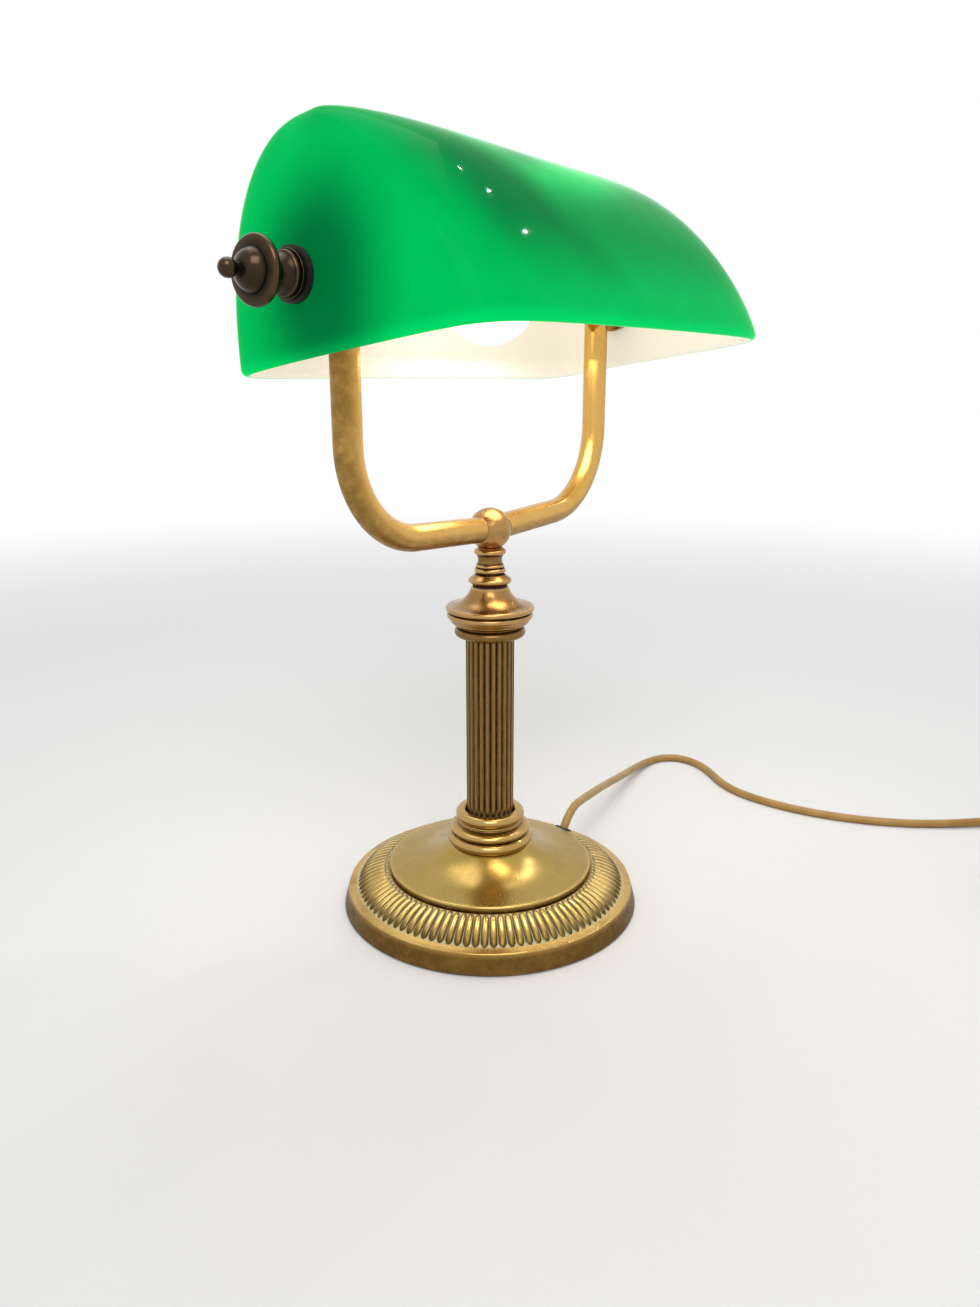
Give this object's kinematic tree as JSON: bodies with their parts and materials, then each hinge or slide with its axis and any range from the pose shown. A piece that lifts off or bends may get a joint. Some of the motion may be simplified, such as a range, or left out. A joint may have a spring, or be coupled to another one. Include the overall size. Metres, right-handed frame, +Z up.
{
  "type": "banker desk lamp",
  "caption": "Brass desk lamp with a gadrooned base, reeded column, swivelling yoke and a tilting green glass shade, on a gold flex with a fused plug.",
  "frame": {"origin": "on the table under the middle of the round base", "axes": "+Z up, X along the yoke and the shade's length, -Y towards the shade's long slope (the user's side)"},
  "size_m": [0.4518, 0.375, 0.3773],
  "materials": {
    "brass_base": "antique satin brass, darker in the hollows",
    "brass_yoke": "bright satin brass",
    "brass_inner": "plain brass",
    "bronze": "dark bronzed brass",
    "cast_iron": "as cast, painted dark",
    "felt": "black felt",
    "steel": "zinc plated",
    "rubber": "matte black rubber",
    "fibre": "black fibre",
    "porcelain": "glazed white",
    "switch_plastic": "dark moulded bar",
    "green_glass": "polished cased glass, green outside and white inside, lit from within",
    "bulb_glass": "frosted, lit",
    "flex_fabric": "gold satin flex",
    "lead_sheath": "inner sheath and tie",
    "plug_plastic": "black moulded",
    "plug_brass": "plain brass"
  },
  "bodies": {
    "stand": {"felt_pad": "felt", "base_weight": "cast_iron", "base_shell": "brass_base", "cord_grommet": "rubber", "dome_plate": "brass_base", "lower_collar": "brass_base", "column_cup": "brass_base", "column": "brass_base", "capital_ring": "brass_base", "capital_cap": "brass_base", "threaded_rod": "steel", "rod_nuts": "steel", "rod_washer": "steel", "earth_tag": "brass_inner", "swivel_washer": "fibre", "base_lead": "lead_sheath", "cord": "flex_fabric", "cord_coil": "flex_fabric", "cord_tail": "flex_fabric", "coil_tie": "lead_sheath", "plug_cover": "plug_plastic", "plug_base": "plug_plastic", "plug_pins": "plug_brass", "plug_earth_pin": "plug_brass", "plug_fuse": "porcelain", "plug_screw": "steel", "plug_cord_grip": "fibre"},
    "yoke": {"neck": "brass_yoke", "swivel_nut": "steel", "spring_washer": "steel", "yoke_ball": "brass_yoke", "ball_nipple": "brass_yoke", "arm_left": "brass_yoke", "arm_right": "brass_yoke", "arm_head_left": "brass_inner", "arm_head_right": "brass_inner", "pivot_nipples": "brass_inner", "lock_nuts": "brass_inner", "clamp_plates": "brass_inner", "blank_nut": "brass_inner", "lampholder_cap": "brass_inner", "lampholder_barrel": "brass_inner", "lampholder_ring": "brass_inner", "lampholder_insert": "porcelain", "lampholder_plungers": "brass_inner", "bulb_cap": "brass_inner", "bulb_glass": "bulb_glass", "yoke_lead": "lead_sheath"},
    "shade": {"shade_glass": "green_glass", "inner_washers": "rubber", "outer_washers": "rubber"},
    "finial_right_body": {"finial_right": "bronze"},
    "finial_left_body": {"finial_left": "bronze"},
    "switch": {"switch_bar": "switch_plastic"}
  },
  "joints": [
    {"name": "yoke_swivel", "type": "hinge", "parent": "stand", "child": "yoke", "pos_m": [0, 0, 0.1753], "axis": [0, 0, 1], "range_deg": [-90, 90]},
    {"name": "shade_tilt", "type": "hinge", "parent": "yoke", "child": "shade", "pos_m": [0, 0, 0.315], "axis": [1, 0, 0], "range_deg": [-35, 60]},
    {"name": "finial_right_turn", "type": "hinge", "parent": "yoke", "child": "finial_right_body", "pos_m": [0.13, 0, 0.315], "axis": [1, 0, 0], "range_deg": [0, 360]},
    {"name": "finial_left_turn", "type": "hinge", "parent": "yoke", "child": "finial_left_body", "pos_m": [-0.13, 0, 0.315], "axis": [-1, 0, 0], "range_deg": [0, 360]},
    {"name": "switch_slide", "type": "slide", "parent": "yoke", "child": "switch", "axis": [0, -1, 0], "range_m": [0, 0.006]}
  ]
}
